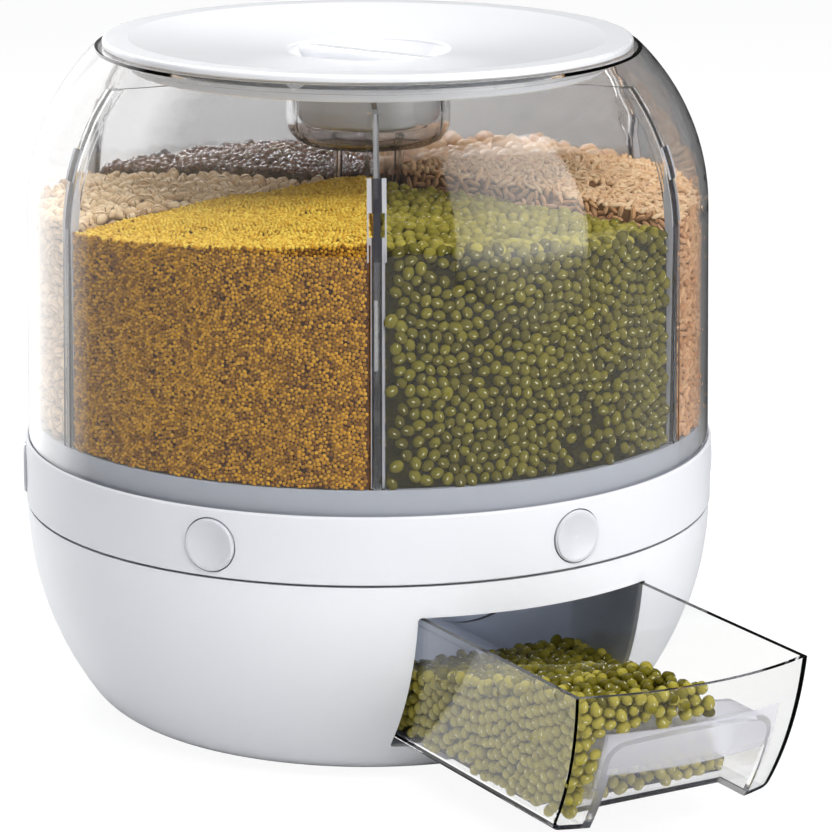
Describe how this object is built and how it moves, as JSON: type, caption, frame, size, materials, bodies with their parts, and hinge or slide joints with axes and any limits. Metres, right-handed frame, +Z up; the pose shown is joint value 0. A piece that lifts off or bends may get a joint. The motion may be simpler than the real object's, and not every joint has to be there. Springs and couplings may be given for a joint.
{
  "type": "rotating grain dispenser",
  "caption": "Clear domed tank in sections on a turntable with push buttons, over a round white base with a clear pull-out drawer.",
  "frame": {"origin": "centre of the feet's contact plane, on the turntable's axis", "axes": "+Z up along the turntable's axis; -Y is the way the drawer comes out; +X is to the right as seen from the drawer's side"},
  "size_m": [0.31, 0.4301, 0.304],
  "materials": {
    "white_body": "satin",
    "white_ring": "satin",
    "lid_plastic": "gloss",
    "button_plastic": "gloss",
    "bay_plastic": "satin",
    "deck_plastic": "matte",
    "floor_plastic": "satin",
    "gate_plastic": "matte",
    "cage_plastic": "matte",
    "clear_tank": "clear moulded plastic",
    "clear_divider": "clear moulded plastic",
    "clear_drawer": "clear moulded plastic",
    "foot_rubber": "matte",
    "seal_rubber": "matte",
    "screw_steel": "plain",
    "spindle_steel": "turned",
    "ball_steel": "polished",
    "spring_steel": "drawn wire"
  },
  "bodies": {
    "base": {"base_bowl": "white_body", "foot_pads": "foot_rubber", "drawer_bay": "bay_plastic", "bay_screws": "screw_steel", "base_deck": "deck_plastic", "deck_screws": "screw_steel", "spindle": "spindle_steel", "spindle_washer": "screw_steel", "spindle_nut": "screw_steel"},
    "bearing": {"bearing_cage": "cage_plastic", "bearing_balls": "ball_steel"},
    "turntable": {"button_ring": "white_ring", "gate_tray": "deck_plastic", "tray_screws": "screw_steel", "hopper_floor": "floor_plastic", "tank_shell": "clear_tank", "tank_partition": "clear_divider", "return_spring_1": "spring_steel", "return_spring_2": "spring_steel", "return_spring_3": "spring_steel", "return_spring_4": "spring_steel", "return_spring_5": "spring_steel", "return_spring_6": "spring_steel"},
    "gate_1": {"gate_slide_1": "gate_plastic", "button_cap_1": "button_plastic"},
    "gate_2": {"gate_slide_2": "gate_plastic", "button_cap_2": "button_plastic"},
    "gate_3": {"gate_slide_3": "gate_plastic", "button_cap_3": "button_plastic"},
    "gate_4": {"gate_slide_4": "gate_plastic", "button_cap_4": "button_plastic"},
    "gate_5": {"gate_slide_5": "gate_plastic", "button_cap_5": "button_plastic"},
    "gate_6": {"gate_slide_6": "gate_plastic", "button_cap_6": "button_plastic"},
    "lid": {"lid_cover": "lid_plastic", "lid_liner": "lid_plastic", "lid_seal": "seal_rubber"},
    "drawer": {"drawer_cup": "clear_drawer"}
  },
  "joints": [
    {"name": "turntable_spin", "type": "hinge", "parent": "base", "child": "turntable", "pos_m": [0, 0, 0.0972], "axis": [0, 0, 1], "continuous": true},
    {"name": "bearing_spin", "type": "hinge", "parent": "base", "child": "bearing", "pos_m": [0, 0, 0.0938], "axis": [0, 0, 1], "continuous": true},
    {"name": "button_1_press", "type": "slide", "parent": "turntable", "child": "gate_1", "axis": [-0.0906, 0.9959, 0], "range_m": [0, 0.012], "stiffness_N_per_m": 150, "deforming": ["return_spring_1"]},
    {"name": "button_2_press", "type": "slide", "parent": "turntable", "child": "gate_2", "axis": [-0.9078, 0.4195, 0], "range_m": [0, 0.012], "stiffness_N_per_m": 150, "deforming": ["return_spring_2"]},
    {"name": "button_3_press", "type": "slide", "parent": "turntable", "child": "gate_3", "axis": [-0.8171, -0.5764, 0], "range_m": [0, 0.012], "stiffness_N_per_m": 150, "deforming": ["return_spring_3"]},
    {"name": "button_4_press", "type": "slide", "parent": "turntable", "child": "gate_4", "axis": [0.0906, -0.9959, 0], "range_m": [0, 0.012], "stiffness_N_per_m": 150, "deforming": ["return_spring_4"]},
    {"name": "button_5_press", "type": "slide", "parent": "turntable", "child": "gate_5", "axis": [0.9078, -0.4195, 0], "range_m": [0, 0.012], "stiffness_N_per_m": 150, "deforming": ["return_spring_5"]},
    {"name": "button_6_press", "type": "slide", "parent": "turntable", "child": "gate_6", "axis": [0.8171, 0.5764, 0], "range_m": [0, 0.012], "stiffness_N_per_m": 150, "deforming": ["return_spring_6"]},
    {"name": "drawer_slide", "type": "slide", "parent": "base", "child": "drawer", "axis": [0, -1, 0], "range_m": [-0.12, 0.02]},
    {"name": "lid_lift", "type": "slide", "parent": "turntable", "child": "lid", "axis": [0, 0, 1], "range_m": [0, 0.06]}
  ],
  "couplings": [
    {"joint": "bearing_spin", "follows": "turntable_spin", "ratio": 0.5}
  ]
}
